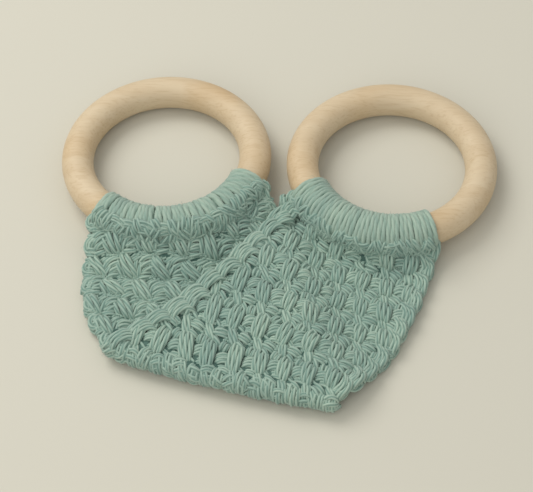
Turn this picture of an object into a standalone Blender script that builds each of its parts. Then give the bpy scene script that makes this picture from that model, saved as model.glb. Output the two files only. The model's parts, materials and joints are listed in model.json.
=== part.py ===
"""Teething ring toy: two wooden rings joined by one folded strip of crochet.

Each ring's lower arc is covered by a row of stitches worked over the wood. The strip runs down
from the left ring, turns over at the bottom edge and comes up over itself to the right ring.
+Z is up, the strip lies on z = 0, and the origin is the middle of the base of the whole toy.
The strip is plain plates here, cut where it bends: beside the front layer's edge, along the
fold, and below the right ring.
"""
import math

import bmesh
import bpy
from mathutils import Matrix, Vector

MM = 0.001
GAP = 0.3 * MM                    # clearance between neighbouring pieces

# Wooden rings
RING_OUTER_D = 70.0 * MM
RING_SECTION_D = 10.6 * MM
RING_SPACING = 75.2 * MM          # between the two ring centres
RING_Y = 30.2 * MM
RING_RISE = 1.4 * MM              # how far the tilt lifts the wrapped side of a ring's centreline
RING_Z = 6.75 * MM                # height of a ring's centre

# Stitches worked over the rings, in degrees round each ring from +X
WRAP_SECTION_D = 15.0 * MM
LEFT_WRAP = (-130.0, -16.0)
RIGHT_WRAP = (-158.0, -62.0)

# Crochet strip
CLOTH = 4.0 * MM                  # thickness of one layer
FOLD_LEFT = Vector((-50.0, -43.8)) * MM
FOLD_RIGHT = Vector((23.0, -61.4)) * MM
FOLD_INSET = 2.0 * MM             # the fold stops short of the corner where the left end lifts
EDGE_TOP = Vector((3.0, 12.0)) * MM       # the front layer's free edge, from the rings
EDGE_BOTTOM = Vector((-48.0, -45.5)) * MM  # down to the fold
LEFT_TOP = Vector((-61.8, 1.0)) * MM
RIGHT_BEND_Y = -10.3 * MM         # where the cloth bends below the right ring
RIGHT_BEND_X = 51.6 * MM
SIDE_BULGE = 4.5 * MM             # how far the strip's sides bow outwards

RING_R = (RING_OUTER_D - RING_SECTION_D) / 2
FRONT_Z = CLOTH + GAP             # underside of the front layer
FOLD_Z = CLOTH + GAP / 2          # axis of the fold, between the layers
FOLD_R = FOLD_Z
TOE = CLOTH / 2                   # radius of a rounded bending edge
WRAP_CLEAR = 37.5 * MM            # cloth edge's radius about a ring, at the wrap's mid height
UNDER_CLEAR = 36.8 * MM           # the same for the lower layer, below the wrap's widest point

WOOD = ("maple", (0.56, 0.43, 0.28), 0.6)
YARN = ("sage_cotton", (0.22, 0.32, 0.26), 0.95)


def ring_centre(side):
    """Centre of the left (-1) or right (+1) ring."""
    return Vector((side * RING_SPACING / 2, RING_Y, RING_Z))


def middle(arc):
    return (arc[0] + arc[1]) / 2


def tilt(arc):
    """Turn that lifts the middle of a ring's wrapped arc."""
    toward = math.radians(middle(arc))
    angle = math.asin(RING_RISE / RING_R)
    return Matrix.Rotation(angle, 4, Vector((math.sin(toward), -math.cos(toward), 0)))


def bent_side(start, end, bulge, steps=8):
    """Points of a side that bows to the right of the way from start to end."""
    run = end - start
    out = Vector((run.y, -run.x)).normalized()
    points = []
    for i in range(steps + 1):
        t = i / steps
        points.append(start + run * t + out * (4 * bulge * t * (1 - t)))
    return points


def ring_arc(side, radius, start, end, step=6.0):
    """Points on a circle about a ring, from start to end in degrees."""
    count = max(2, round(abs(end - start) / step))
    centre = ring_centre(side).to_2d()
    points = []
    for i in range(count + 1):
        a = math.radians(start + (end - start) * i / count)
        points.append(centre + radius * Vector((math.cos(a), math.sin(a))))
    return points


def crossing(p, along_p, q, along_q):
    """Where the line through p meets the line through q."""
    det = along_p.x * along_q.y - along_p.y * along_q.x
    gap = q - p
    return p + along_p * ((gap.x * along_q.y - gap.y * along_q.x) / det)


def make_material(name, colour, roughness):
    material = bpy.data.materials.new(name)
    material.use_nodes = True
    shader = material.node_tree.nodes["Principled BSDF"]
    shader.inputs["Base Color"].default_value = (*colour, 1.0)
    shader.inputs["Roughness"].default_value = roughness
    shader.inputs["Metallic"].default_value = 0.0
    return material


def add(name, data, material, collection):
    obj = bpy.data.objects.new(name, data)
    obj.data.materials.append(material)
    collection.objects.link(obj)
    return obj


def pivot(name, where, parent, collection):
    """Empty on a joint's axis, which carries what the joint moves."""
    empty = bpy.data.objects.new(name, None)
    collection.objects.link(empty)
    empty.empty_display_size = 0.01
    place(empty, Matrix.Translation(where), parent)
    return empty


def place(obj, world, parent):
    """Put obj at a world matrix, under an unturned parent."""
    if parent:
        obj.parent = parent
        world = Matrix.Translation(-origin_of(parent)) @ world
    obj.matrix_basis = world


def origin_of(obj):
    """World position of an unturned object in a chain of unturned parents."""
    where = obj.location.copy()
    while obj.parent:
        obj = obj.parent
        where += obj.location
    return where


def make_ring(name, side, arc, material, collection, parent):
    bpy.ops.mesh.primitive_torus_add(
        major_radius=RING_R, minor_radius=RING_SECTION_D / 2,
        major_segments=64, minor_segments=18)
    obj = bpy.context.object
    for other in list(obj.users_collection):
        other.objects.unlink(obj)
    collection.objects.link(obj)
    obj.name = name
    obj.data.name = name
    obj.data.materials.append(material)
    obj.data.shade_smooth()
    place(obj, Matrix.Translation(ring_centre(side)) @ tilt(arc), parent)
    return obj


def make_wrap(name, side, arc, material, collection, parent):
    """Sleeve of stitches round the arc of a ring: a swept circle, thickened inwards."""
    bm = bmesh.new()
    start, end = (math.radians(a) for a in arc)
    stand = Matrix.Rotation(start, 4, "Z") @ Matrix.Translation((RING_R, 0, 0))
    stand = stand @ Matrix.Rotation(math.radians(90), 4, "X")
    section = bmesh.ops.create_circle(bm, segments=18, radius=WRAP_SECTION_D / 2, matrix=stand)
    edges = list({edge for vert in section["verts"] for edge in vert.link_edges})
    bmesh.ops.spin(bm, geom=section["verts"] + edges, cent=(0, 0, 0), axis=(0, 0, 1),
                   angle=end - start, steps=20)
    bmesh.ops.recalc_face_normals(bm, faces=bm.faces)
    mesh = bpy.data.meshes.new(name)
    bm.to_mesh(mesh)
    bm.free()
    mesh.shade_smooth()
    obj = add(name, mesh, material, collection)
    wall = obj.modifiers.new("wall", "SOLIDIFY")
    wall.thickness = (WRAP_SECTION_D - RING_SECTION_D) / 2 - GAP
    wall.offset = middle_offset(mesh)
    place(obj, Matrix.Translation(ring_centre(side)) @ tilt(arc), parent)
    return obj


def middle_offset(mesh):
    """Solidify's side that lies inside the swept tube."""
    face = mesh.polygons[0]
    spot = face.center.copy()
    spine = Vector((spot.x, spot.y, 0)).normalized() * RING_R
    return -1.0 if face.normal.dot(spot - spine) > 0 else 1.0


def make_plate(name, outline, bottom, material, collection, parent):
    """Flat layer of cloth with a given outline."""
    curve = bpy.data.curves.new(name, "CURVE")
    curve.dimensions = "2D"
    curve.fill_mode = "BOTH"
    curve.extrude = CLOTH / 2
    spline = curve.splines.new("POLY")
    spline.points.add(len(outline) - 1)
    for point, corner in zip(spline.points, outline):
        point.co = (corner.x, corner.y, 0, 1)
    spline.use_cyclic_u = True
    obj = add(name, curve, material, collection)
    place(obj, Matrix.Translation((0, 0, bottom + CLOTH / 2)), parent)
    return obj


def round_edge(obj, start, end):
    """Turn a plate into a mesh whose side from start to end is a half-round toe."""
    bpy.context.view_layer.update()
    mesh = bpy.data.meshes.new_from_object(obj.evaluated_get(bpy.context.evaluated_depsgraph_get()))
    mesh.name = obj.name
    bm = bmesh.new()
    bm.from_mesh(mesh)
    bmesh.ops.remove_doubles(bm, verts=bm.verts, dist=0.01 * MM)
    bmesh.ops.dissolve_limit(bm, angle_limit=math.radians(1), verts=bm.verts, edges=bm.edges)
    bmesh.ops.recalc_face_normals(bm, faces=bm.faces)
    weight = bm.edges.layers.float.new("bevel_weight_edge")
    side = (end - start).normalized()
    across = Vector((-side.y, side.x))
    for edge in bm.edges:
        ends = [vert.co.to_2d() for vert in edge.verts]
        level = edge.verts[0].co.z * edge.verts[1].co.z > 0
        on_line = all(abs((p - start).dot(across)) < 0.05 * MM for p in ends)
        if level and on_line and edge.calc_length() > CLOTH:
            edge[weight] = 1.0
    bm.to_mesh(mesh)
    bm.free()
    mesh.materials.clear()
    mesh.materials.append(obj.data.materials[0])
    name, parent, basis = obj.name, obj.parent, obj.matrix_basis.copy()
    collection = obj.users_collection[0]
    bpy.data.objects.remove(obj)
    obj = bpy.data.objects.new(name, mesh)
    collection.objects.link(obj)
    obj.parent = parent
    obj.matrix_basis = basis
    toe = obj.modifiers.new("toe", "BEVEL")
    toe.width = TOE - 0.01 * MM
    toe.segments = 5
    toe.limit_method = "WEIGHT"
    return obj


def make_fold(name, material, collection):
    """Half turn of the strip at its bottom edge, as a round roll on the fold's axis."""
    start = FOLD_LEFT + (FOLD_RIGHT - FOLD_LEFT).normalized() * FOLD_INSET
    run = FOLD_RIGHT - start
    bpy.ops.mesh.primitive_cylinder_add(vertices=24, radius=FOLD_R, depth=run.length)
    obj = bpy.context.object
    for other in list(obj.users_collection):
        other.objects.unlink(obj)
    collection.objects.link(obj)
    obj.name = name
    obj.data.name = name
    obj.data.materials.append(material)
    middle_point = (start + FOLD_RIGHT) / 2
    heading = Matrix.Rotation(math.atan2(run.y, run.x), 4, "Z")
    lying = Matrix.Rotation(math.radians(90), 4, "Y")
    obj.matrix_basis = Matrix.Translation((*middle_point, FOLD_Z)) @ heading @ lying
    ends = obj.modifiers.new("ends", "BEVEL")
    ends.width = 1.5 * MM
    ends.segments = 3
    ends.angle_limit = math.radians(60)
    return obj


def build():
    for obj in list(bpy.data.objects):
        bpy.data.objects.remove(obj)
    parts = bpy.data.collections.new("teething_ring")
    bpy.context.scene.collection.children.link(parts)
    wood = make_material(*WOOD)
    yarn = make_material(*YARN)

    # Directions of the fold and of the front layer's free edge
    fold_run = (FOLD_RIGHT - FOLD_LEFT).normalized()
    fold_in = Vector((-fold_run.y, fold_run.x))
    edge_run = (EDGE_TOP - EDGE_BOTTOM).normalized()
    edge_out = Vector((-edge_run.y, edge_run.x))
    fold_line = FOLD_LEFT + fold_in * (FOLD_R + 2 * GAP)

    # Axis on which the left end of the strip lifts, just outside the front layer's edge
    lift = EDGE_TOP + edge_out * (TOE + 2 * GAP)
    toe_line = lift - edge_out * TOE
    back_line = lift - edge_out * (TOE + GAP)

    left_lift = pivot("left_lift", (*lift, CLOTH / 2), None, parts)
    left_turn = pivot("left_turn", ring_centre(-1), left_lift, parts)
    fold = pivot("fold", (*FOLD_LEFT, FOLD_Z), None, parts)
    right_lift = pivot("right_lift", (RIGHT_BEND_X, RIGHT_BEND_Y, FRONT_Z + CLOTH / 2), fold, parts)
    right_turn = pivot("right_turn", ring_centre(1), right_lift, parts)

    make_ring("ring_left", -1, LEFT_WRAP, wood, parts, left_turn)
    make_ring("ring_right", 1, RIGHT_WRAP, wood, parts, right_turn)
    make_wrap("wrap_left", -1, LEFT_WRAP, yarn, parts, left_lift)
    make_wrap("wrap_right", 1, RIGHT_WRAP, yarn, parts, right_lift)

    # Left end of the strip, the part that lies uncovered
    left_side = bent_side(LEFT_TOP, FOLD_LEFT, SIDE_BULGE)
    side_foot = crossing(left_side[-3], left_side[-2] - left_side[-3], fold_line, fold_run)
    toe_foot = crossing(toe_line, edge_run, fold_line, fold_run)
    left_end = ring_arc(-1, UNDER_CLEAR, LEFT_WRAP[1], LEFT_WRAP[0])
    left_end = left_end + left_side[:-2] + [side_foot, toe_foot, toe_line]
    plate = make_plate("cloth_left", left_end, 0, yarn, parts, left_lift)
    round_edge(plate, toe_foot, toe_line)

    # Back layer under the front one, and the fold
    back_foot = crossing(back_line, edge_run, fold_line, fold_run)
    back_right = fold_line + fold_run * (FOLD_RIGHT - FOLD_LEFT).length
    make_plate("cloth_back", [back_foot, back_right, back_line], 0, yarn, parts, None)
    make_fold("cloth_fold", yarn, parts)

    # Front layer up to its bend, and the end that carries the right ring
    bend = Vector((RIGHT_BEND_X, RIGHT_BEND_Y))
    across = Vector((1, 0))
    front_foot = crossing(EDGE_TOP, edge_run, fold_line, fold_run)
    below = bend - Vector((0, TOE + GAP))
    front_head = crossing(EDGE_TOP, edge_run, below, across)
    front = [front_foot] + bent_side(back_right, below, SIDE_BULGE) + [front_head]
    make_plate("cloth_front", front, FRONT_Z, yarn, parts, fold)

    toe = bend - Vector((0, TOE))
    toe_left = crossing(EDGE_TOP, edge_run, toe, across)
    right_end = ring_arc(1, WRAP_CLEAR, RIGHT_WRAP[1], RIGHT_WRAP[0])
    right_end = [toe_left, toe] + right_end + [EDGE_TOP]
    plate = make_plate("cloth_right", right_end, FRONT_Z, yarn, parts, right_lift)
    round_edge(plate, toe_left, toe)


build()
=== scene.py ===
import json
import math

import bpy
import numpy as np
from mathutils import Matrix, Vector


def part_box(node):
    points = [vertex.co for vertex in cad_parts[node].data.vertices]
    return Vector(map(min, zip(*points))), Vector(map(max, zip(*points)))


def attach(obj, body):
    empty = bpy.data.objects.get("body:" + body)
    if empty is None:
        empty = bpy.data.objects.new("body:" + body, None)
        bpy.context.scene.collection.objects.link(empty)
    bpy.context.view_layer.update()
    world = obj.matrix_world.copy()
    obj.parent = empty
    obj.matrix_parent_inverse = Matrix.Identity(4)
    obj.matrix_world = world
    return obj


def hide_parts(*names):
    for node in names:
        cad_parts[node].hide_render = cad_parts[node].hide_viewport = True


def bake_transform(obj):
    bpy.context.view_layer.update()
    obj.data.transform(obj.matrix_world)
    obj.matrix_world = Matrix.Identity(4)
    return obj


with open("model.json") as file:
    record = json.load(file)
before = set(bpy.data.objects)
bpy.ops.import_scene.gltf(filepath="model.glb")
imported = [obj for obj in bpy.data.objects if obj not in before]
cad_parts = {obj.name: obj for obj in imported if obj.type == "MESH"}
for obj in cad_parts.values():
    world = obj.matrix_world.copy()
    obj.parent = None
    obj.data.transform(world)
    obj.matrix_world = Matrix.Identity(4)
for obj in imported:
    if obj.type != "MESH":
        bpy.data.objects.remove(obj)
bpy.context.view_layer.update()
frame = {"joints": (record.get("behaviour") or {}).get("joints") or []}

# Lengths are in millimetres and angles in degrees. Meshes are scaled to metres as they are made.
MM = 0.001
rng = np.random.default_rng(11)

# What the frame gives: ring places and axes, and the strip's three bending axes
JOINTS = {joint["name"]: joint for joint in frame["joints"]}


def joint_place(name):
    return np.array(JOINTS[name]["pos_m"]) / MM


def joint_axis(name):
    return np.array(JOINTS[name]["axis"], float)


def left_of(run):
    """Direction at a right angle to a plan direction, on its left."""
    return np.array([-run[1], run[0]])


# Rings
RING_AT = {side: joint_place(f"{side}_ring_turn") for side in ("left", "right")}
RING_AXIS = {side: joint_axis(f"{side}_ring_turn") for side in ("left", "right")}
RING_OUTER = (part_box("ring_left")[1].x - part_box("ring_left")[0].x) / MM / 2
RING_SECTION = 5.3                # radius of the wood's round section
RING_R = RING_OUTER - RING_SECTION

# Yarn wound over the rings
WOUND_ARC = {"left": (-127.5, -21.0), "right": (-152.5, -65.0)}  # angles round the ring
WOUND_PITCH = {"left": 1.42, "right": 1.30}
WOUND_RISE = {"left": 0.3, "right": 0.65}  # strand's middle above the wood
WOUND_MESS = {"left": 0.9, "right": 0.45}  # how unevenly the strands lie

# The strip's ends on the rings
WRAP_ARC = {"left": (-130.0, -16.0), "right": (-158.0, -62.0)}
WRAP_REACH = 36.0                 # from the ring's centre to the middle of the end
WRAP_DIP = 2.5                    # how much nearer the end's corners are

# The fold, where the back layer turns over and becomes the front one
FOLD_AT = joint_place("fold_open")
FOLD_RUN = joint_axis("fold_open")[:2]
FOLD_IN = left_of(FOLD_RUN)
FOLD_LENGTH = 74.5
FOLD_BOW = 1.9                    # how far the turned edge bows out at its middle
FOLD_Z = FOLD_AT[2]
BACK_Z = 2.15                     # mid height of the lower layer
TURN_R = FOLD_Z - BACK_Z          # radius of the turn's mid surface
FRONT_Z = FOLD_Z + TURN_R
SIDE_BOW = {"back": (5.0, 0.0), "front": (-4.6, 6.0)}  # outward bow of the two side edges

# Heights of the layers
BACK_CLIMB = 6.2                  # the back layer climbs this much to the left ring,
BACK_CLIMB_AT = (48.5, 14.0)      # from this reach, over this length
FRONT_RING_Z = 6.6                # the front layer's height at the right ring,
FRONT_CLIMB_AT = (42.0, 8.0)      # reached from here, over this length
SAG_GAP = 0.2                     # height left under the front layer where it sags
WAVE = 0.25                       # gentle unevenness of the front layer

# Solid middle of the cloth
GROUND = 0.75                     # half its thickness
GROUND_CLEAR = 3.3                # a layer's middle stops this far from the fold
TURN_GROUND = 0.9                 # half the thickness at the turn
TURN_LAP = 4.8                    # how far the turn's middle laps under each layer

# Which stitches belong where
TURN_BAND = 4.6                   # outer stitches this near the fold go with it
OUTER_PAST = -3.4                 # outer stitches reach this far round the turn
INNER_CLEAR = 6.6                 # inner stitches keep this far from the fold
RING_CLEAR = 35.8                 # stitches keep this far from a ring's centre,
RING_CLEAR_LEFT = 34.8            # or this far on the upper side of the back layer
EDGE_CLEAR = 0.9                  # and this far from a side edge

# Yarn
YARN_R = 0.93
DIVE = -0.8                       # height of a stitch's ends, inside the cloth
FUZZ_EVERY = 3.6                  # spacing of loose fibres along a strand
FUZZ_R = 0.045

# Front layer: columns of tall stitches, whose courses fan out to the left
COLUMN = 7.75
COLUMN_AT = -25.2                 # x of column 0
COURSE = 13.5                     # height of a pair of rows at x = 0
COURSE_FAN = 0.0125               # share by which it shrinks with each millimetre of x
COURSE_RANGE = (10.4, 17.0)
COURSE_AT = 6.5                   # tall stitches of course 1 above the fold
PARTS_COURSE = 15.0               # the course height that FRONT_PARTS is laid out for

# Parts of one repeat: across, up, kind, lean, length, width, strands, peak,
# and how far the length may stretch with the course
FRONT_PARTS = (
    (0.0, 0.0, "post", 70, 9.8, 4.6, 3, 1.75, 1.1),
    (4.6, -1.5, "knot", -3, 4.6, 3.5, 3, 1.35, None),
    (5.0, 2.5, "leg", 62, 3.8, 1.7, 2, 1.0, None),
    (-0.4, -7.7, "post", 93, 6.8, 2.5, 2, 0.85, 2.0),
    (5.0, -5.0, "knot", -18, 3.7, 2.2, 2, 0.6, None),
    (3.2, -8.0, "leg", -42, 5.4, 1.7, 2, 1.0, None),
    (2.1, -10.9, "leg", -64, 5.0, 1.0, 1, 0.9, None),
    (2.0, -4.3, "leg", -58, 4.6, 1.0, 1, 0.3, None))

# Back layer: straight rows of leaning pairs with a knot between them
BACK_ROW = 7.35
BACK_ROW_AT = -5.6                # y of row 0
BACK_TIP_AT = -57.0               # the rows tip about this x
BACK_TIP_ROWS = 6.0               # rows over which they come to lie along the fold
BACK_REPEAT = 10.3
BACK_REPEAT_AT = -61.5            # x of repeat 0
BACK_STRETCH = 1.3
BACK_PARTS = (
    (0.0, 0.0, "post", 115, 8.2, 3.4, 2, 1.7),
    (2.5, -0.2, "leg", 66, 6.9, 1.7, 2, 1.0),
    (2.7, 2.3, "leg", 22, 3.9, 1.0, 1, 0.8),
    (5.4, 0.6, "knot", 18, 5.0, 4.7, 3, 1.45),
    (8.1, 0.0, "leg", 115, 7.3, 1.7, 2, 1.2),
    (5.3, -2.2, "leg", 6, 5.0, 1.7, 2, 0.8),
    (0.6, -3.2, "leg", -10, 5.6, 1.7, 2, 0.1),
    (0.0, 3.0, "leg", 14, 4.8, 1.7, 2, 0.1))

# Turned edge: along the fold, kind, lean from square, length, width, strands, peak
NOSE_PARTS = (
    (0.0, "knot", -84, 4.5, 4.0, 3, 1.25),
    (3.9, "post", -12, 6.6, 4.3, 3, 1.3))
NOSE_START = {"front": 1.6, "back": 5.6}
CORNER = 0.9                      # the turned edge's ends are closed this far in

# Tuft between the rings: x, y, lean, length, strands
TUFT = ((4.8, 8.8, 42, 8.6, 4), (2.8, 13.2, 74, 5.2, 2), (6.4, 13.8, 50, 5.4, 3),
        (3.0, 5.6, 18, 6.0, 3), (8.8, 9.4, -40, 5.0, 2))

# Rows of small stitches over a wrap's foot, as angles round the wood's section
FOOT_ROWS = {("left", 1): (30, 46), ("left", -1): (-10, 14, 34),
             ("right", 1): (-14, 8), ("right", -1): (-14, 8)}
FOOT_STEP = 3.8                   # degrees of ring from one small stitch to the next

# Side edges: name, layer, side, spacing of the bundles, whether they lie like rope
EDGES = (("left_edge", "back", 0.0, 7.35, False), ("hidden_edge", "back", 1.0, 7.35, False),
         ("front_edge", "front", 0.0, 7.1, True), ("right_edge", "front", 1.0, 6.3, True))
STRAND_STEP = 1.3                 # spacing of the strands in an edge's bundle

# Colours
# Yarn: painted shade in the grooves between plies at 0, up to painted highlight on the ply crests
# at 1
YARN_COLOUR_PAINTED_SHADE = [(0.0, (0.135, 0.235, 0.205)), (0.5, (0.240, 0.358, 0.310)),
               (1.0, (0.330, 0.450, 0.390))]
# Wound yarn: painted shade in the grooves between strands and plies at 0, up to the crest colour at
# 1
WOUND_COLOUR_PAINTED_SHADE = [(0.0, (0.262, 0.378, 0.325)), (1.0, (0.338, 0.446, 0.382))]
# Cloth's solid middle: painted shade, dark where it shows between the stitches
PAINTED_SHADE_BETWEEN_STITCHES = [(0.35, (0.052, 0.105, 0.090)), (0.7, (0.100, 0.175, 0.150))]
WOOD_SHADES = [(0.30, (0.570, 0.449, 0.292)), (0.50, (0.608, 0.490, 0.329)),
               (0.72, (0.638, 0.527, 0.366))]
GRAIN_TURN = 12                   # direction of the wood's grain
FLOOR_COLOUR = (0.60, 0.585, 0.505, 1)
WORLD_COLOUR = (1.0, 0.985, 0.95, 1)
WORLD_STRENGTH = 0.56
LAMP_COLOUR = (1.0, 0.975, 0.93)

# Lamps: name, place and size in metres, power in watts
LAMPS = (("key", (-0.45, 0.35, 0.75), 0.6, 4.6), ("fill", (-0.35, -0.6, 0.7), 0.9, 3.0))

# Camera: above and in front, a long lens, a slight roll
CAMERA_AT = (30.3, -423.6, 578.2)
CAMERA_TARGET = (-2.5, 0.1, 0.0)
CAMERA_ROLL = -1.38
CAMERA_LENS = 147.8


def smooth(x):
    x = np.clip(x, 0.0, 1.0)
    return x * x * (3 - 2 * x)


def unit_rows(vectors):
    return vectors / np.linalg.norm(vectors, axis=1)[:, None]


# ------------------------------ strip's surface

def side_of(layer):
    return "left" if layer == "back" else "right"


def wrap_line(layer, u):
    """Where the strip meets a ring's wrap, for u from 0 to 1 across it."""
    side = side_of(layer)
    start, end = WRAP_ARC[side]
    a = np.radians(start + (end - start) * u)
    radius = WRAP_REACH - WRAP_DIP * (2 * u - 1) ** 2
    return RING_AT[side][:2] + (radius * np.array([np.cos(a), np.sin(a)])).T


def fold_bow(q):
    """Outward bow of the fold, q millimetres along it."""
    t = np.clip(q / FOLD_LENGTH, 0, 1)
    return FOLD_BOW * np.sin(math.pi * t ** 0.8)


def fold_line(u):
    q = np.atleast_1d(u) * FOLD_LENGTH
    return FOLD_AT[:2] + np.outer(q, FOLD_RUN) - np.outer(fold_bow(q), FOLD_IN)


def strip_xy(layer, u, s):
    """Plan position at u across the strip and s millimetres from the wrap."""
    u = np.atleast_1d(np.asarray(u, float))
    s = np.atleast_1d(np.asarray(s, float))
    top = wrap_line(layer, u)
    run = fold_line(u) - top
    length = np.linalg.norm(run, axis=1)
    t = s / length
    p = top + run * t[:, None]
    out = np.stack([run[:, 1], -run[:, 0]], 1) / length[:, None]
    tt = np.clip(t, 0, 1)
    hump = 4 * tt * (1 - tt) * (0.6 + 0.8 * tt)
    left, right = SIDE_BOW[layer]
    return p + out * ((left * (1 - u) ** 2 - right * u ** 2) * hump)[:, None]


def length_at(layer, u):
    u = np.atleast_1d(np.asarray(u, float))
    return np.linalg.norm(fold_line(u) - wrap_line(layer, u), axis=1)


def from_fold(p):
    """Distance from the fold into the strip, for one place or many."""
    return (p - FOLD_AT[:2]) @ FOLD_IN + fold_bow((p - FOLD_AT[:2]) @ FOLD_RUN)


BACK_EDGE = (wrap_line("back", np.array([1.0]))[0], fold_line(1.0)[0])


def beyond_back(p):
    """Distance past the back layer's right edge."""
    run = BACK_EDGE[1] - BACK_EDGE[0]
    return (p - BACK_EDGE[0]) @ left_of(run) / np.linalg.norm(run)


def height(layer, p):
    """Height of a layer's mid surface."""
    reach = np.linalg.norm(p - RING_AT[side_of(layer)][:2], axis=1)
    if layer == "back":
        start, over = BACK_CLIMB_AT
        return BACK_Z + BACK_CLIMB * smooth((start - reach) / over)
    d = from_fold(p)
    sag = smooth((beyond_back(p) + 1.0) / 15.0) * smooth((d - 2.0) / 16.0)
    wave = WAVE * np.sin(p[:, 0] * 0.17 + 1.0) * np.cos(p[:, 1] * 0.21) * smooth((d - 3.0) / 8.0)
    z = FRONT_Z - (FRONT_Z - BACK_Z - SAG_GAP) * sag + wave
    start, over = FRONT_CLIMB_AT
    return z + (FRONT_RING_Z - z) * smooth((start - reach) / over)


def lift(layer, p, h):
    """Points of the surface: plan places p, raised h along the normal, turned round the fold."""
    z = height(layer, p)
    step = 0.4
    dx = (height(layer, p + [step, 0]) - height(layer, p - [step, 0])) / (2 * step)
    dy = (height(layer, p + [0, step]) - height(layer, p - [0, step])) / (2 * step)
    n = unit_rows(np.stack([-dx, -dy, np.ones_like(dx)], 1))
    points = np.column_stack([p, z]) + n * h[:, None]
    past = -from_fold(p)
    over = past > 0
    if over.any():
        up = -1.0 if layer == "back" else 1.0
        radius = TURN_R + up * h
        turn = up * (math.pi / 2 - np.clip(past / TURN_R, 0, math.pi))
        foot = p + FOLD_IN * past[:, None]
        bent = np.column_stack([
            foot - FOLD_IN * (radius * np.cos(turn))[:, None],
            FOLD_Z + radius * np.sin(turn)])
        points[over] = bent[over]
    return points


def outline(layer):
    """The layer's outline in plan, and its two side edges from wrap to fold."""
    sides = []
    for u in (0.0, 1.0):
        steps = np.linspace(0, 1, 60) * length_at(layer, u)[0]
        sides.append(strip_xy(layer, np.full(60, u), steps))
    top = wrap_line(layer, np.linspace(0, 1, 40))
    foot = fold_line(np.linspace(1, 0, 40))
    return np.vstack([top, sides[1], foot, sides[0][::-1]]), sides


OUTLINE = {layer: outline(layer) for layer in ("back", "front")}


def side_gap(layer, p):
    """How far inside the layer's side edges a place is; below zero when outside."""
    loop, sides = OUTLINE[layer]
    inset = 0.5
    d = from_fold(p)
    q = p if d > inset else p + FOLD_IN * (inset - min(d, 0.0))
    ahead = np.roll(loop, -1, axis=0)
    crosses = (loop[:, 1] > q[1]) != (ahead[:, 1] > q[1])
    rise = np.where(ahead[:, 1] == loop[:, 1], 1.0, ahead[:, 1] - loop[:, 1])
    at = loop[:, 0] + (q[1] - loop[:, 1]) / rise * (ahead[:, 0] - loop[:, 0])
    inside = np.count_nonzero(crosses & (at > q[0])) % 2 == 1
    near = min(np.linalg.norm(side - q, axis=1).min() for side in sides)
    return near if inside else -near


def face_is_outer(layer, face):
    """Whether a face is outside when the strip is folded."""
    return (layer == "back") == (face < 0)


def accepts(layer, face, p):
    """Whether a stitch centred at p belongs on this face of the layer."""
    if from_fold(p) < (OUTER_PAST if face_is_outer(layer, face) else INNER_CLEAR):
        return False
    reach = np.linalg.norm(p - RING_AT[side_of(layer)][:2])
    nearest = RING_CLEAR_LEFT if layer == "back" and face > 0 else RING_CLEAR
    return reach > nearest and side_gap(layer, p) > EDGE_CLEAR


# ------------------------------ yarn

def resample(points, count):
    """Smooth curve through control points, evenly spaced."""
    points = np.asarray(points, float)
    ends = np.vstack([2 * points[0] - points[1], points, 2 * points[-1] - points[-2]])
    fine = []
    for i in range(len(points) - 1):
        a, b, c, d = ends[i:i + 4]
        for t in np.arange(0, 1, 0.125):
            fine.append(0.5 * (2 * b + (c - a) * t + (2 * a - 5 * b + 4 * c - d) * t ** 2
                               + (3 * b - a - 3 * c + d) * t ** 3))
    fine.append(points[-1])
    fine = np.array(fine)
    along = np.concatenate([[0], np.cumsum(np.linalg.norm(np.diff(fine, axis=0), axis=1))])
    at = np.linspace(0, along[-1], count)
    return np.stack([np.interp(at, along, fine[:, k]) for k in range(fine.shape[1])], 1)


def tube_quads(count, sides, closed):
    """Faces of a tube of count rings with the given number of sides."""
    i, j = np.meshgrid(np.arange(count if closed else count - 1), np.arange(sides), indexing="ij")
    ahead = (i + 1) % count
    beside = (j + 1) % sides
    quads = np.stack([i * sides + j, i * sides + beside, ahead * sides + beside,
                      ahead * sides + j], -1)
    return quads.reshape(-1, 4)


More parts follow.
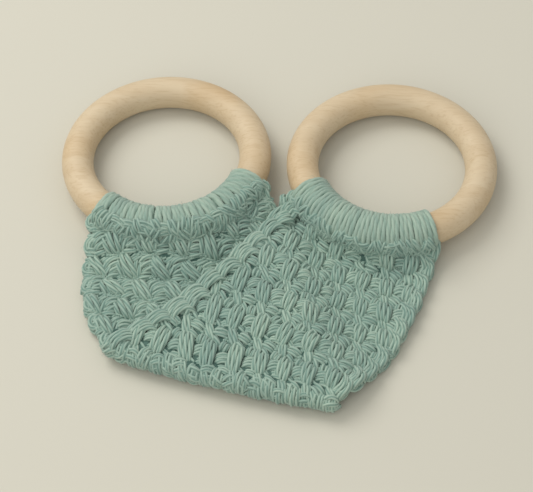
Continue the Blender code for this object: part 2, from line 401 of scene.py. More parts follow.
class Yarn:
    """Collects plied strands and turns them into one mesh."""

    def __init__(self, plies=4, shape=(0.78, 1.03, 1.03), pitch=20.0):
        self.verts, self.faces, self.ply, self.tone = [], [], [], []
        self.fuzz_roots = []
        self.count = 0
        self.profile = np.array(shape * plies)
        self.pitch = pitch

    def add(self, verts, faces, ply, tone):
        self.verts.append(verts)
        self.faces.append(faces)
        self.ply.append(ply)
        self.tone.append(np.full(len(verts), tone))
        self.count += len(verts)

    def strand(self, path, normals, radius=YARN_R, taper=0.0, closed=False, tone=None):
        """One strand along a path of points, with the surface normal at each."""
        count, sides = len(path), len(self.profile)
        tangent = np.gradient(path, axis=0)
        if closed:
            tangent = np.roll(path, -1, axis=0) - np.roll(path, 1, axis=0)
        tangent = unit_rows(tangent)
        across = unit_rows(np.cross(tangent, normals))
        up = np.cross(across, tangent)
        steps = np.linalg.norm(np.diff(path, axis=0), axis=1)
        along = np.concatenate([[0], np.cumsum(steps)])
        twist = 2 * math.pi * along / self.pitch
        if closed:
            total = along[-1] + np.linalg.norm(path[0] - path[-1])
            turns = max(1, round(total / self.pitch * 4)) / 4
            twist = 2 * math.pi * turns * along / total
        angle = twist[:, None] + rng.uniform(0, 6.28) + np.arange(sides) * 2 * math.pi / sides
        u = np.linspace(-1, 1, count)
        size = np.full(count, radius) if closed else radius * (1 - taper * u ** 4)
        r = size[:, None] * self.profile[None, :]
        ring = (path[:, None, :] + across[:, None, :] * (r * np.cos(angle))[:, :, None]
                + up[:, None, :] * (r * np.sin(angle))[:, :, None])
        # 0 in the grooves between plies, 1 on the crests: the material paints shade into the
        # grooves and highlight onto the crests
        groove_shade_to_crest = (self.profile - self.profile.min()) / np.ptp(self.profile)
        shade = rng.uniform(0, 1) if tone is None else tone
        for root in np.arange(rng.uniform(0, FUZZ_EVERY), along[-1], FUZZ_EVERY):
            i = min(int(np.searchsorted(along, root)), count - 1)
            j = int(rng.integers(sides))
            out = across[i] * math.cos(angle[i, j]) + up[i] * math.sin(angle[i, j])
            self.fuzz_roots.append((ring[i, j], out, tangent[i]))
        first = self.count
        last = first + (count - 1) * sides
        self.add(ring.reshape(-1, 3), first + tube_quads(count, sides, closed),
                 np.tile(groove_shade_to_crest, count), shade)
        if not closed:
            self.cap(path[0] - tangent[0] * radius * 0.3, first, sides, True)
            self.cap(path[-1] + tangent[-1] * radius * 0.3, last, sides, False)

    def cap(self, tip, base, sides, opening):
        """Fan that closes one end of a strand; a triangle is a face whose last corner is -1."""
        j = np.arange(sides)
        k = (j + 1) % sides
        fan = (base + k, base + j) if opening else (base + j, base + k)
        faces = np.stack([*fan, np.full(sides, self.count), np.full(sides, -1)], 1)
        self.add(np.array([tip]), faces, np.array([0.5]), 0.5)

    def add_fuzz(self):
        """Loose cotton fibres that stand off the strands."""
        sides = 3
        turn = np.arange(sides) * 2 * math.pi / sides
        thin = FUZZ_R * np.array([1.0, 1.0, 0.8, 0.4])
        for root, out, along in self.fuzz_roots:
            reach = rng.uniform(0.25, 0.9)
            run = along * rng.uniform(-1.6, 1.6)
            side = np.cross(out, along) * rng.uniform(-0.8, 0.8)
            path = np.array([root - out * 0.15,
                             root + out * reach * 0.6 + (run + side) * 0.3,
                             root + out * reach + (run + side) * 0.7,
                             root + out * reach * 0.7 + run * 1.2 + side])
            up = out / np.linalg.norm(out)
            flat = np.cross(along, up)
            ring = (path[:, None, :] + thin[:, None, None]
                    * (np.cos(turn)[None, :, None] * flat + np.sin(turn)[None, :, None] * up))
            count = len(path)
            # Fibres take the crest end of the painted ply light: painted highlight, no painted
            # groove shade
            self.add(ring.reshape(-1, 3), self.count + tube_quads(count, sides, False),
                     np.full(count * sides, 1.0), rng.uniform(0.4, 1.0))

    def build(self, name, material):
        self.add_fuzz()
        verts = np.concatenate(self.verts)
        verts[:, 2] = np.maximum(verts[:, 2], 0.0)
        verts *= MM
        faces = np.concatenate(self.faces)
        quads = faces[faces[:, 3] >= 0]
        tris = faces[faces[:, 3] < 0][:, :3]
        mesh = bpy.data.meshes.new(name)
        mesh.vertices.add(len(verts))
        mesh.vertices.foreach_set("co", verts.ravel())
        loops = np.concatenate([quads.ravel(), tris.ravel()]).astype(np.int32)
        mesh.loops.add(len(loops))
        mesh.loops.foreach_set("vertex_index", loops)
        mesh.polygons.add(len(quads) + len(tris))
        starts = np.concatenate([np.arange(len(quads)) * 4,
                                 len(quads) * 4 + np.arange(len(tris)) * 3]).astype(np.int32)
        mesh.polygons.foreach_set("loop_start", starts)
        mesh.update(calc_edges=True)
        mesh.validate()
        for label, values in (("ply", self.ply), ("tone", self.tone)):
            layer = mesh.attributes.new(label, "FLOAT", "POINT")
            layer.data.foreach_set("value", np.concatenate(values).astype(np.float32))
        return finished(mesh, material)


def finished(mesh, material):
    """Smooth-shaded object of a mesh, with its material and slot."""
    mesh.shade_smooth()
    mesh.materials.append(material)
    obj = bpy.data.objects.new(mesh.name, mesh)
    bpy.context.collection.objects.link(obj)
    return obj


class Patch:
    """A stitch's own axes on a layer: x and y in plan, h out of the cloth."""

    def __init__(self, layer, face, centre):
        self.layer, self.face, self.centre = layer, face, centre

    def place(self, points, count):
        local = resample(points, count)
        plan = self.centre + local[:, :2]
        path = lift(self.layer, plan, local[:, 2] * self.face)
        above = lift(self.layer, plan, (local[:, 2] + 0.2) * self.face)
        return path, unit_rows(above - path)


class RingPatch:
    """A stitch's axes on the yarn round a ring: x along the ring, y inwards over its top."""

    def __init__(self, side, angle, over, face):
        self.turn, self.centre = ring_matrix(side)
        self.angle, self.over, self.face = angle, over, face

    def place(self, points, count):
        local = resample(points, count)
        a = math.radians(self.angle) - local[:, 0] / 35.0
        b = math.radians(self.over) + local[:, 1] / 7.0
        layers = []
        for extra in (0.0, 0.2):
            r = RING_SECTION + 1.5 + local[:, 2] * 0.7 + extra
            radius = RING_R + r * np.cos(b)
            z = r * np.sin(b) * self.face
            flat = np.stack([radius * np.cos(a), radius * np.sin(a), z], 1)
            layers.append(flat @ self.turn.T + self.centre)
        return layers[0], unit_rows(layers[1] - layers[0])


# ------------------------------ stitches

def turned(points, angle):
    """Local points turned in the cloth's plane."""
    a = math.radians(angle)
    pts = np.asarray(points, float)
    x = pts[:, 0] * math.cos(a) - pts[:, 1] * math.sin(a)
    y = pts[:, 0] * math.sin(a) + pts[:, 1] * math.cos(a)
    return np.stack([x, y, pts[:, 2]], 1)


def post(yarn, patch, length, width, lean, peak, strands=3, detail=12):
    """Tall stitch: strands side by side that rise out of the cloth and dive back in."""
    spacing = width / strands
    tone = rng.uniform(0, 1)
    sway = rng.normal(0.25, 0.25)
    for k in range(strands):
        side = k - (strands - 1) / 2
        off = side * spacing
        rise = peak - 0.22 * abs(side) + rng.normal(0, 0.1)
        half = length / 2 * rng.uniform(0.93, 1.07)
        slip = side * 0.35 + rng.normal(0, 0.15)
        points = [(-half + slip, off * 0.75 - sway, DIVE),
                  (-half * 0.8 + slip, off * 0.9 - sway * 0.7, rise * 0.45),
                  (-half * 0.35 + slip, off * 1.04 - sway * 0.2, rise),
                  (half * 0.35 + slip, off * 1.04 + sway * 0.3, rise * 1.02),
                  (half * 0.8 + slip, off * 0.85 + sway * 0.5, rise * 0.45),
                  (half + slip, off * 0.7 + sway * 0.4, DIVE)]
        path, normal = patch.place(turned(points, lean), detail)
        yarn.strand(path, normal, taper=0.2, tone=tone)


def knot(yarn, patch, size, tall, lean, peak, bars=3, detail=10):
    """Short stitch: stacked bars, bowed a little, tucked in at both ends."""
    spacing = tall / bars
    bow = size * 0.06
    tone = rng.uniform(0, 1)
    for k in range(bars):
        side = k - (bars - 1) / 2
        off = side * spacing
        half = size / 2 * (1.0 - 0.06 * abs(side)) * rng.uniform(0.93, 1.06)
        rise = peak - 0.15 * abs(side) + rng.normal(0, 0.08)
        slip = rng.normal(0, 0.15)
        points = [(-half + slip, off * 0.8 - bow, DIVE),
                  (-half * 0.8 + slip, off * 0.95, rise * 0.55),
                  (slip, off + bow, rise),
                  (half * 0.8 + slip, off * 0.95, rise * 0.55),
                  (half + slip, off * 0.8 - bow, DIVE)]
        path, normal = patch.place(turned(points, lean), detail)
        yarn.strand(path, normal, radius=YARN_R * 0.92, taper=0.2, tone=tone)


def leg(yarn, patch, length, lean, peak, strands=2, detail=9):
    """Low strands that link a tall stitch to the next row."""
    tone = rng.uniform(0, 0.7)
    for k in range(strands):
        off = (k - (strands - 1) / 2) * YARN_R * 1.7
        half = length / 2 * rng.uniform(0.92, 1.06)
        points = [(-half, off * 0.8, DIVE), (-half * 0.55, off, peak * 0.85),
                  (half * 0.35, off, peak), (half, off * 0.8, DIVE)]
        path, normal = patch.place(turned(points, lean), detail)
        yarn.strand(path, normal, radius=YARN_R * 0.95, taper=0.2, tone=tone)


def place_part(yarn, patch, kind, lean, length, width, strands, peak, detail):
    """One part of a repeat; the smaller kinds need fewer points."""
    if kind == "post":
        post(yarn, patch, length, width, lean, peak, strands, detail)
    elif kind == "knot":
        knot(yarn, patch, length, width, lean, peak, strands, max(8, detail - 2))
    else:
        leg(yarn, patch, length, lean, peak, strands, max(7, detail - 4))


def yarn_at(own, turn_yarn, layer, face, p):
    """The fold's yarn for an outer stitch near the fold, and the row's own for any other."""
    near = face_is_outer(layer, face) and from_fold(p) < TURN_BAND
    return turn_yarn if near else own


def fold_y(x):
    """Where the turned edge lies at a given x."""
    q = (x - FOLD_AT[0]) / FOLD_RUN[0]
    return FOLD_AT[1] + q * FOLD_RUN[1] - fold_bow(q) / FOLD_RUN[0]


def front_stitches(own, turn_yarn, face, course):
    """One pair of rows of the front layer: tall stitches, knots and the legs between them."""
    detail = 13 if face_is_outer("front", face) else 8
    for column in range(-4, 12):
        x = COLUMN_AT + COLUMN * column
        tall = float(np.clip(COURSE * math.exp(-COURSE_FAN * x), *COURSE_RANGE))
        y = fold_y(x) + COURSE_AT + (course - 1) * tall
        centre = np.array([x, y]) + rng.normal(0, 0.3, 2)
        k = tall / PARTS_COURSE
        for dx, dy, kind, angle, length, width, strands, peak, stretch in FRONT_PARTS:
            p = centre + [dx, dy * k]
            if not accepts("front", face, p):
                continue
            yarn = yarn_at(own, turn_yarn, "front", face, p)
            lean = angle + rng.normal(0, 8)
            length = length * (min(k, stretch) if stretch else 1.0) * rng.uniform(0.92, 1.1)
            peak = peak * rng.uniform(0.8, 1.15)
            place_part(yarn, Patch("front", face, p), kind, lean, length, width, strands, peak,
                       detail)


def back_row_y(x, row):
    """Middle of a row of the back layer; lower rows tip towards the fold's direction."""
    tip = FOLD_RUN[1] / FOLD_RUN[0] * smooth(row / BACK_TIP_ROWS)
    return BACK_ROW_AT - BACK_ROW * row + tip * (x - BACK_TIP_AT)


def back_stitches(own, turn_yarn, face, row):
    """One row of the back layer, every other one shifted by half a repeat."""
    for i in range(-1, 10):
        x0 = BACK_REPEAT_AT + (i + 0.5 * (row % 2)) * BACK_REPEAT
        for dx, dy, kind, angle, length, width, strands, peak in BACK_PARTS:
            x = x0 + dx + rng.normal(0, 0.3)
            k = (back_row_y(x, row - 0.5) - back_row_y(x, row + 0.5)) / BACK_ROW
            p = np.array([x, back_row_y(x, row) + dy * k + rng.normal(0, 0.2)])
            if not accepts("back", face, p):
                continue
            yarn = yarn_at(own, turn_yarn, "back", face, p)
            lean = angle + rng.normal(0, 7)
            place_part(yarn, Patch("back", face, p), kind, lean, length * min(k, BACK_STRETCH),
                       width, strands, peak, 12)


def nose_stitches(yarn, layer):
    """Stitches along the turned edge, reaching round from each layer in the front's columns."""
    face = 1 if layer == "front" else -1
    square = math.degrees(math.atan2(FOLD_RUN[1], FOLD_RUN[0])) + 90
    end = 0.8
    for start in np.arange(NOSE_START[layer], FOLD_LENGTH, COLUMN / FOLD_RUN[0]):
        for ahead, kind, angle, length, width, strands, peak in NOSE_PARTS:
            q = start + ahead + rng.normal(0, 0.4)
            if not end < q < FOLD_LENGTH - end:
                continue
            spot = fold_line(q / FOLD_LENGTH)[0] - FOLD_IN * rng.uniform(0.5, 3.0)
            lean = square + angle + rng.normal(0, 14)
            peak = peak * rng.uniform(0.8, 1.2)
            place_part(yarn, Patch(layer, face, spot), kind, lean, length, width, strands, peak,
                       12)


def corner_wraps(yarn):
    """Strands that close the two open ends of the turned edge."""
    arc = ((-1.4, -2.4), (0.3, -1.9), (0.8, -0.7), (0.8, 0.7), (0.3, 1.9), (-1.4, 2.4))
    for q, way in ((CORNER, -1.0), (FOLD_LENGTH - CORNER, 1.0)):
        end = fold_line(q / FOLD_LENGTH)[0]
        heart = np.array([*(end - FOLD_RUN * way * 3.0), FOLD_Z])
        for inward in (-1.7, -0.3, 1.1, 2.5):
            path = []
            for out, rise in arc:
                out = out - 0.3 * abs(inward - 0.4) + rng.normal(0, 0.1)
                plan = end + FOLD_RUN * way * out + FOLD_IN * inward
                path.append([*plan, FOLD_Z + rise])
            path = resample(path, 12)
            yarn.strand(path, unit_rows(path - heart), taper=0.15)


def tuft(yarn):
    """Loops bunched where the front layer's free edge meets the right ring."""
    for x, y, lean, length, strands in TUFT:
        patch = Patch("front", 1, np.array([x, y]))
        post(yarn, patch, length, 1.45 * strands, lean + rng.normal(0, 5), 3.2, strands, 12)


def wrap_foot(yarn, layer, face):
    """Uneven small stitches that climb from the cloth over the ring's outer side."""
    side = side_of(layer)
    start, end = WOUND_ARC[side]
    for over in FOOT_ROWS[side, face]:
        a = start + 3.5
        while a < end - 3.5:
            patch = RingPatch(side, a + rng.normal(0, 0.5), over + rng.normal(0, 4), face)
            if rng.uniform() < 0.35:
                knot(yarn, patch, 3.9, 2.3, rng.normal(15, 14), 0.8, 2, 8)
            else:
                length = rng.uniform(4.4, 5.6)
                lean = 90 + rng.choice([-26, 24]) + rng.normal(0, 9)
                leg(yarn, patch, length, lean, 0.9, int(rng.integers(1, 3)), 9)
            a += FOOT_STEP


# ------------------------------ materials

# Sockets of a colour Mix node, whose names its other kinds share
MIX_FACTOR, MIX_A, MIX_B, MIX_RESULT = 0, 6, 7, 2


def nodes_of(name):
    material = bpy.data.materials.new(name)
    material.use_nodes = True
    tree = material.node_tree
    return material, tree, tree.nodes["Principled BSDF"]


def set_inputs(node, values):
    for socket, value in values.items():
        node.inputs[socket].default_value = value


def object_place(tree):
    return tree.nodes.new("ShaderNodeTexCoord").outputs["Object"]


def attribute(tree, name):
    """A value that the mesh holds at each of its points."""
    node = tree.nodes.new("ShaderNodeAttribute")
    node.attribute_name = name
    return node.outputs["Fac"]


def along_grain(tree, place, scale):
    node = tree.nodes.new("ShaderNodeMapping")
    set_inputs(node, {"Scale": scale, "Rotation": (0, 0, math.radians(GRAIN_TURN))})
    tree.links.new(place, node.inputs["Vector"])
    return node.outputs["Vector"]


def noise(tree, place, scale, detail, distortion=0.0):
    node = tree.nodes.new("ShaderNodeTexNoise")
    set_inputs(node, {"Scale": scale, "Detail": detail, "Distortion": distortion})
    tree.links.new(place, node.inputs["Vector"])
    return node.outputs["Fac"]


def ramp(tree, value, stops):
    """Colour picked by a value, from stops of place and colour."""
    node = tree.nodes.new("ShaderNodeValToRGB")
    elements = node.color_ramp.elements
    elements[0].position, elements[0].color = stops[0][0], (*stops[0][1], 1)
    elements[1].position, elements[1].color = stops[-1][0], (*stops[-1][1], 1)
    for place, colour in stops[1:-1]:
        elements.new(place).color = (*colour, 1)
    tree.links.new(value, node.inputs["Fac"])
    return node.outputs["Color"]


def multiply(tree, first, second, factor=1.0):
    node = tree.nodes.new("ShaderNodeMix")
    node.data_type = "RGBA"
    node.blend_type = "MULTIPLY"
    node.inputs[MIX_FACTOR].default_value = factor
    tree.links.new(first, node.inputs[MIX_A])
    tree.links.new(second, node.inputs[MIX_B])
    return node.outputs[MIX_RESULT]


def bump(tree, shader, relief, strength, distance):
    """Fine relief on the shader; the distance is in metres."""
    node = tree.nodes.new("ShaderNodeBump")
    set_inputs(node, {"Strength": strength, "Distance": distance})
    tree.links.new(relief, node.inputs["Height"])
    tree.links.new(node.outputs["Normal"], shader.inputs["Normal"])


def yarn_material(name, painted_shade_stops):
    """Soft sage cotton: painted shade in the grooves between plies, painted highlight on the
    crests, a little uneven from stitch to stitch.
    """
    material, tree, shader = nodes_of(name)
    place = object_place(tree)
    # Painted shade in the ply grooves, painted highlight on the crests
    shade = ramp(tree, attribute(tree, "ply"), painted_shade_stops)
    vary = ramp(tree, attribute(tree, "tone"), [(0.0, (0.86, 0.90, 0.90)),
                                                (1.0, (1.08, 1.06, 1.04))])
    drift = ramp(tree, noise(tree, place, 90, 3), [(0.3, (0.92, 0.94, 0.94)),
                                                   (0.7, (1.06, 1.05, 1.02))])
    colour = multiply(tree, multiply(tree, shade, vary), drift)
    tree.links.new(colour, shader.inputs["Base Color"])
    bump(tree, shader, noise(tree, place, 2600, 2), 0.35, 0.00012)
    set_inputs(shader, {"Roughness": 0.88, "Sheen Weight": 0.25, "Sheen Roughness": 0.5,
                        "Specular IOR Level": 0.25})
    return material


def ground_material():
    """The same cotton painted dark as shade between the stitches, where little light falls."""
    material, tree, shader = nodes_of("sage_cotton_painted_shade")
    mottle = noise(tree, object_place(tree), 500, 2)
    tree.links.new(ramp(tree, mottle, PAINTED_SHADE_BETWEEN_STITCHES), shader.inputs["Base Color"])
    bump(tree, shader, mottle, 0.5, 0.0004)
    set_inputs(shader, {"Roughness": 0.95, "Specular IOR Level": 0.15})
    return material


def wood_material():
    """Bare sanded maple: straight pale grain, fine pores, one warmer patch."""
    material, tree, shader = nodes_of("maple_wood")
    place = object_place(tree)
    grain = noise(tree, along_grain(tree, place, (22, 190, 190)), 1.0, 5, 0.6)
    pores = noise(tree, along_grain(tree, place, (160, 1500, 1500)), 1.0, 2)
    fleck = ramp(tree, pores, [(0.32, (0.86, 0.82, 0.76)), (0.5, (1.0, 1.0, 1.0))])
    warm = ramp(tree, noise(tree, place, 45, 1), [(0.56, (1.0, 1.0, 1.0)),
                                                  (0.82, (0.92, 0.83, 0.70))])
    flecked = multiply(tree, ramp(tree, grain, WOOD_SHADES), fleck, 0.6)
    tree.links.new(multiply(tree, flecked, warm, 0.8), shader.inputs["Base Color"])
    bump(tree, shader, pores, 0.15, 0.0002)
    set_inputs(shader, {"Roughness": 0.52, "Specular IOR Level": 0.35})
    return material


# ------------------------------ pieces

def mesh_object(name, verts, faces, material):
    mesh = bpy.data.meshes.new(name)
    mesh.from_pydata((np.asarray(verts) * MM).tolist(), [], faces)
    mesh.validate()
    return finished(mesh, material)


def slab(name, upper, lower, material):
    """Closed sheet between two grids of points, rows by columns."""
    rows, cols = upper.shape[:2]
    verts = np.concatenate([upper.reshape(-1, 3), lower.reshape(-1, 3)])
    under = rows * cols
    faces = []
    for i in range(rows - 1):
        for j in range(cols - 1):
            a = i * cols + j
            quad = [a, a + 1, a + cols + 1, a + cols]
            faces.append(quad)
            faces.append([under + k for k in reversed(quad)])
    rim = list(range(cols)) + [i * cols + cols - 1 for i in range(1, rows)]
    rim += [(rows - 1) * cols + j for j in range(cols - 2, -1, -1)]
    rim += [i * cols for i in range(rows - 2, 0, -1)]
    for a, b in zip(rim, rim[1:] + rim[:1]):
        faces.append([b, a, under + a, under + b])
    obj = mesh_object(name, verts, faces, material)
    obj.data.shade_flat()
    return obj


def ground_layer(name, layer, material):
    """Solid middle of a layer, from the wrap to a little short of the fold."""
    us = np.linspace(0.012, 0.988, 42)
    grid = {1: [], -1: []}
    for t in np.linspace(0.0, 1.0, 46):
        p = strip_xy(layer, us, (length_at(layer, us) - GROUND_CLEAR) * t)
        for face in grid:
            grid[face].append(lift(layer, p, np.full(len(us), face * GROUND)))
    return slab(name, np.array(grid[1]), np.array(grid[-1]), material)


def ground_turn(name, material):
    """Solid middle of the strip where it turns over at the fold."""
    inner, outer = [], []
    half_turn = math.pi * TURN_R
    along = np.linspace(0.6, FOLD_LENGTH - 0.6, 50)
    line = fold_line(along / FOLD_LENGTH)
    for q in np.linspace(-TURN_LAP, half_turn + TURN_LAP, 26):
        angle = np.clip(q / TURN_R, 0, math.pi) - math.pi / 2
        past = max(-q, q - half_turn, 0.0)
        for rows, radius in ((inner, TURN_R - TURN_GROUND), (outer, TURN_R + TURN_GROUND)):
            plan = line - FOLD_IN * radius * math.cos(angle) + FOLD_IN * past
            z = np.full(len(along), FOLD_Z + radius * math.sin(angle))
            rows.append(np.column_stack([plan, z]))
    return slab(name, np.array(inner), np.array(outer), material)


def make_stitches(turn_yarn, material):
    """Both layers' stitches, as one piece a row; outer ones near the fold go to its yarn."""
    pieces = {}
    for layer, rows, work in (("back", range(-3, 8), back_stitches),
                              ("front", range(0, 10), front_stitches)):
        for row in rows:
            own = Yarn()
            for face in (1, -1):
                work(own, turn_yarn, face, row)
            if own.count:
                name = f"{layer}_row_{len(pieces) + 1:02d}"
                pieces[name] = own.build(name, material)
        nose_stitches(turn_yarn, layer)
        foot = Yarn()
        for face in (1, -1):
            wrap_foot(foot, layer, face)
        if layer == "front":
            tuft(foot)
        pieces[f"{layer}_foot"] = foot.build(f"{layer}_foot", material)
    return pieces


def edge_frame(layer, u, q):
    """Place on a side edge q millimetres from the wrap, its run and its inward direction."""
    here = strip_xy(layer, u, q)[0]
    run = strip_xy(layer, u, q + 0.5)[0] - strip_xy(layer, u, q - 0.5)[0]
    run /= np.linalg.norm(run)
    return here, -run, left_of(run) * (1.0 if u < 0.5 else -1.0)


def edge_strand(yarn, layer, frame_at, points, detail, tone):
    """A strand on a side edge; points are inwards, along and out of the cloth."""
    here, run, inward = frame_at
    local = resample(points, detail)
    along = np.outer(local[:, 1], run)
    path = lift(layer, here + np.outer(local[:, 0], inward) + along, local[:, 2])
    heart = lift(layer, here + 1.2 * inward + along, np.zeros(len(local)))
    yarn.strand(path, unit_rows(path - heart), taper=0.15, tone=tone)


def edge_wraps(yarn, turn_yarn, layer, u):
    """Short strands that close a side edge, wrapping from one face to the other."""
    length = length_at(layer, u)[0]
    q = 0.8
    while q < length - 1.5:
        at = edge_frame(layer, u, q)
        lean = rng.normal(1.0, 0.6)
        bulge = rng.uniform(0.1, 0.5)
        points = [(2.6, -lean, 0.2), (1.5, -lean * 0.6, 1.0), (0.3, -lean * 0.15, 0.9),
                  (-bulge, lean * 0.15, 0.0), (0.3, lean * 0.5, -0.9), (1.5, lean * 0.8, -1.0),
                  (2.6, lean, -0.2)]
        own = yarn if q < length - TURN_BAND else turn_yarn
        edge_strand(own, layer, at, points, 13, rng.uniform(0, 0.7))
        q += 1.7


def edge_curls(yarn, turn_yarn, layer, u, spacing, rope):
    """One group of strands a row along a side edge: rounded curls, or bundles laid like rope."""
    length = length_at(layer, u)[0]
    for face in (1, -1):
        for q in np.arange(3.2, length - 1.0, spacing):
            at = edge_frame(layer, u, q + rng.normal(0, 0.35))
            own = yarn if q < length - TURN_BAND else turn_yarn
            tone = rng.uniform(0.2, 1)
            for k in range(3 if rope else 2):
                x = k * STRAND_STEP + rng.normal(0, 0.12)
                if rope:
                    points = [(-0.1 + x, -spacing * 0.72, -0.5), (-0.4 + x, -spacing * 0.45, 1.0),
                              (-0.5 + x, -0.3, 1.5), (0.2 + x, spacing * 0.26, 1.5),
                              (1.7 + x, spacing * 0.52, 1.0), (3.0 + x, spacing * 0.62, -0.5)]
                else:
                    high = spacing * (0.42 - 0.16 * k)
                    points = [(3.9, high * 0.9, -0.4), (2.0, high, 0.9),
                              (-0.5 + x, high * 0.45, 1.0), (-0.7 + x, -high * 0.4, 0.8),
                              (1.8, -high, 0.8), (3.9, -high * 1.1, -0.4)]
                points = [(a, b, h * face) for a, b, h in points]
                edge_strand(own, layer, at, points, 15, tone)


def ridge_rope(yarn, turn_yarn, spacing):
    """Leaning bundles along the front layer's free edge, lying over one another like a rope."""
    length = length_at("front", 0.0)[0]
    for q in np.arange(3.0, length - 2.0, spacing):
        at = edge_frame("front", 0.0, q + rng.normal(0, 0.7))
        own = yarn if q < length - TURN_BAND else turn_yarn
        tone = rng.uniform(0.3, 1)
        drift = rng.normal(0.2, 0.5)
        hook = rng.uniform(0.2, 1.8)
        for k in range(rng.integers(3, 5)):
            x = k * STRAND_STEP + rng.normal(0, 0.12) + drift
            points = [(0.3 + x, -5.6 + 0.4 * k, -0.6), (0.0 + x, -3.9 + 0.3 * k, 1.2),
                      (-0.2 + x, -1.2, 2.0), (0.0 + x, 1.5, 2.2 - 0.15 * k),
                      (0.4 + x + hook * 0.4, 3.6 - 0.3 * k, 1.7),
                      (1.0 + x + hook * 0.9, 4.9 - 0.5 * k, 0.6),
                      (1.5 + x + hook * 1.2, 5.4 - 0.6 * k, -0.5)]
            edge_strand(own, "front", at, points, 16, tone)


def make_edges(turn_yarn, material):
    pieces = {}
    for name, layer, u, spacing, rope in EDGES:
        own = Yarn()
        edge_wraps(own, turn_yarn, layer, u)
        if name == "front_edge":
            ridge_rope(own, turn_yarn, spacing)
        else:
            edge_curls(own, turn_yarn, layer, u, spacing, rope)
        pieces[name] = own.build(name, material)
    return pieces


def ring_matrix(side):
    """Axes of a ring: its tilted plane and its centre, in millimetres."""
    axis = RING_AXIS[side]
    x = np.array([1.0, 0, 0]) - axis * axis[0]
    x /= np.linalg.norm(x)
    y = np.cross(axis, x)
    return np.stack([x, y, axis], 1), RING_AT[side]


def ring_loop(side, a, radius, count):
    """Points on a circle round the ring's section, at angle a of the ring."""
    turn, centre = ring_matrix(side)
    b = np.arange(count) * 2 * math.pi / count
    out = RING_R + radius * np.cos(b)
    return np.stack([out * math.cos(a), out * math.sin(a), radius * np.sin(b)], 1) @ turn.T + centre


def ring_quads(count, sides, closed):
    """Faces between such circles, facing out."""
    return tube_quads(count, sides, closed)[:, [0, 3, 2, 1]].tolist()


def make_ring(side, material):
    """A turned and sanded wooden ring, a very little uneven."""
    major, minor = 160, 40
    loops = []
    for a in np.arange(major) * 2 * math.pi / major:
        wobble = 1 + 0.004 * math.sin(3 * a + 1) + 0.003 * math.sin(5 * a)
        loops.append(ring_loop(side, a, RING_SECTION * wobble, minor))
    obj = mesh_object(f"wood_ring_{side}", np.concatenate(loops),
                      ring_quads(major, minor, True), material)
    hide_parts(f"ring_{side}")
    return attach(obj, f"{side}_ring")


def make_core(side, material):
    """Closed sleeve of yarn over the wood, seen only between the wound strands."""
    start, end = WOUND_ARC[side]
    inset = 0.8
    arc, around = 60, 28
    loops = [ring_loop(side, a, RING_SECTION + 0.2, around)
             for a in np.radians(np.linspace(start + inset, end - inset, arc))]
    faces = ring_quads(arc, around, False)
    faces.append(list(range(around))[::-1])
    faces.append([(arc - 1) * around + j for j in range(around)])
    # The sleeve carries no per-point ply value, so the wound material gives it the darkest stop of
    # its ramp: painted shade between the strands
    obj = mesh_object(f"wound_core_{side}", np.concatenate(loops), faces, material)
    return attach(obj, f"{side}_end")


def make_wrap(side, material):
    """Stitches worked over the wood, packed close side by side."""
    turn, centre = ring_matrix(side)
    pitch, mess = WOUND_PITCH[side], WOUND_MESS[side]
    yarn = Yarn(plies=3, shape=(0.86, 1.0, 1.04, 1.0), pitch=15.0)
    start, end = WOUND_ARC[side]
    mid = (start + end) / 2
    count = int(math.radians(end - start) * RING_R / pitch)
    b = np.linspace(0, 2 * math.pi, 34, endpoint=False)
    for k in range(count + 1):
        a0 = start + (end - start) * k / count
        skew = rng.normal(0, mess)
        slip = rng.normal(0, mess * 0.22)
        phase = rng.uniform(0, 6.28)
        r = RING_SECTION + WOUND_RISE[side] + rng.uniform(0, 0.1 + 0.1 * mess)
        spread = 1 - 0.02 * np.cos(b)
        wander = slip + skew * np.sin(b) * 0.5 + mess * 0.25 * np.sin(3 * b + phase)
        a = np.radians(mid + (a0 - mid) * spread + wander)
        r = r + 0.5 * smooth((np.cos(b) + 0.2) / 1.2)
        radius = RING_R + r * np.cos(b)
        flat = np.stack([radius * np.cos(a), radius * np.sin(a), r * np.sin(b)], 1)
        spine = np.stack([RING_R * np.cos(a), RING_R * np.sin(a), np.zeros_like(a)], 1)
        path = flat @ turn.T + centre
        path[:, 2] = np.maximum(path[:, 2], YARN_R * 0.8)
        yarn.strand(path, unit_rows((flat - spine) @ turn.T), radius=pitch * 0.74, closed=True)
    obj = yarn.build(f"wound_stitches_{side}", material)
    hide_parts(f"wrap_{side}")
    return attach(obj, f"{side}_end")


# ------------------------------ floor, light and camera

def make_floor():
    material, _, shader = nodes_of("pale_floor")
    set_inputs(shader, {"Base Color": FLOOR_COLOUR, "Roughness": 0.9})
    bpy.ops.mesh.primitive_plane_add(size=6.0, location=(0, 0, -0.0002))
    floor = bpy.context.object
    floor.name = "floor"
    floor.data.materials.append(material)


def make_lights():
    world = bpy.data.worlds.new("studio")
    bpy.context.scene.world = world
    world.use_nodes = True
    set_inputs(world.node_tree.nodes["Background"], {"Color": WORLD_COLOUR,
                                                     "Strength": WORLD_STRENGTH})
    for name, place, size, energy in LAMPS:
        lamp = bpy.data.lights.new(name, "AREA")
        lamp.size = size
        lamp.energy = energy
        lamp.color = LAMP_COLOUR
        obj = bpy.data.objects.new(name, lamp)
        obj.location = place
        obj.rotation_euler = Vector(place).to_track_quat("Z", "Y").to_euler()
        bpy.context.collection.objects.link(obj)


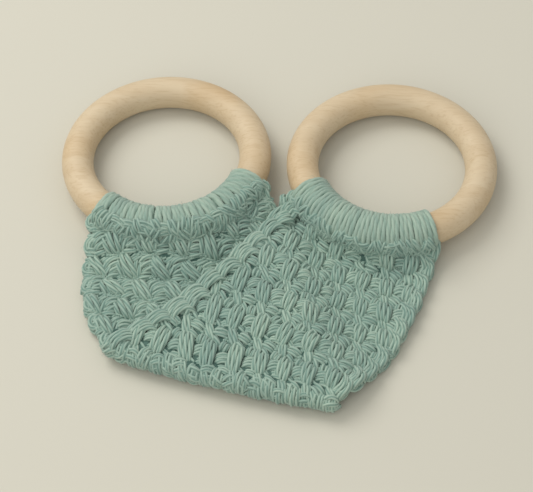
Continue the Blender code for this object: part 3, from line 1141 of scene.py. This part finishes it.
def make_camera():
    place = Vector(CAMERA_AT) * MM
    target = Vector(CAMERA_TARGET) * MM
    data = bpy.data.cameras.new("camera")
    data.lens = CAMERA_LENS
    data.sensor_width = 36.0
    obj = bpy.data.objects.new("camera", data)
    aim = (place - target).to_track_quat("Z", "Y").to_matrix().to_4x4()
    roll = Matrix.Rotation(math.radians(CAMERA_ROLL), 4, "Z")
    obj.matrix_world = Matrix.Translation(place) @ aim @ roll
    bpy.context.collection.objects.link(obj)
    bpy.context.scene.camera = obj


# ------------------------------ cloth placement baked into the meshes

def blend_lift(obj):
    """Back layer's cloth: bakes its placement into the mesh; nothing bends it where the left end
    lifts.
    """
    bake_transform(obj)


def blend_bend(obj):
    """Front layer's cloth: bakes its placement into the mesh; nothing bends it below the right
    ring.
    """
    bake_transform(obj)


def blend_turn(obj):
    """Cloth at the fold: bakes its placement into the mesh; nothing turns it over by its height."""
    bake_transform(obj)


def main():
    bpy.context.scene.view_settings.view_transform = "Standard"
    make_camera()
    make_lights()
    make_floor()
    yarn = yarn_material("sage_cotton_yarn", YARN_COLOUR_PAINTED_SHADE)
    wound = yarn_material("sage_cotton_wound", WOUND_COLOUR_PAINTED_SHADE)
    shade_ground = ground_material()
    wood = wood_material()
    for side in ("left", "right"):
        make_ring(side, wood)
        make_core(side, wound)
    for side in ("left", "right"):
        make_wrap(side, wound)

    # The cloth's solid middles carry painted shade
    back = ground_layer("cloth_back_middle", "back", shade_ground)
    front = ground_layer("cloth_front_middle", "front", shade_ground)
    turn = ground_turn("cloth_fold_middle", shade_ground)
    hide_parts("cloth_back", "cloth_left")
    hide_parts("cloth_front", "cloth_right")
    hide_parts("cloth_fold")

    turn_yarn = Yarn()
    stitches = make_stitches(turn_yarn, yarn)
    edges = make_edges(turn_yarn, yarn)
    corner_wraps(turn_yarn)
    fold_row = turn_yarn.build("fold_row", yarn)

    back_yarn = [edges["left_edge"], edges["hidden_edge"]]
    front_yarn = [edges["front_edge"], edges["right_edge"]]
    for name, piece in stitches.items():
        (back_yarn if name.startswith("back") else front_yarn).append(piece)
    for piece in [back] + back_yarn:
        blend_lift(piece)
    for piece in [front] + front_yarn:
        blend_bend(piece)
    blend_turn(turn)
    blend_turn(fold_row)


main()
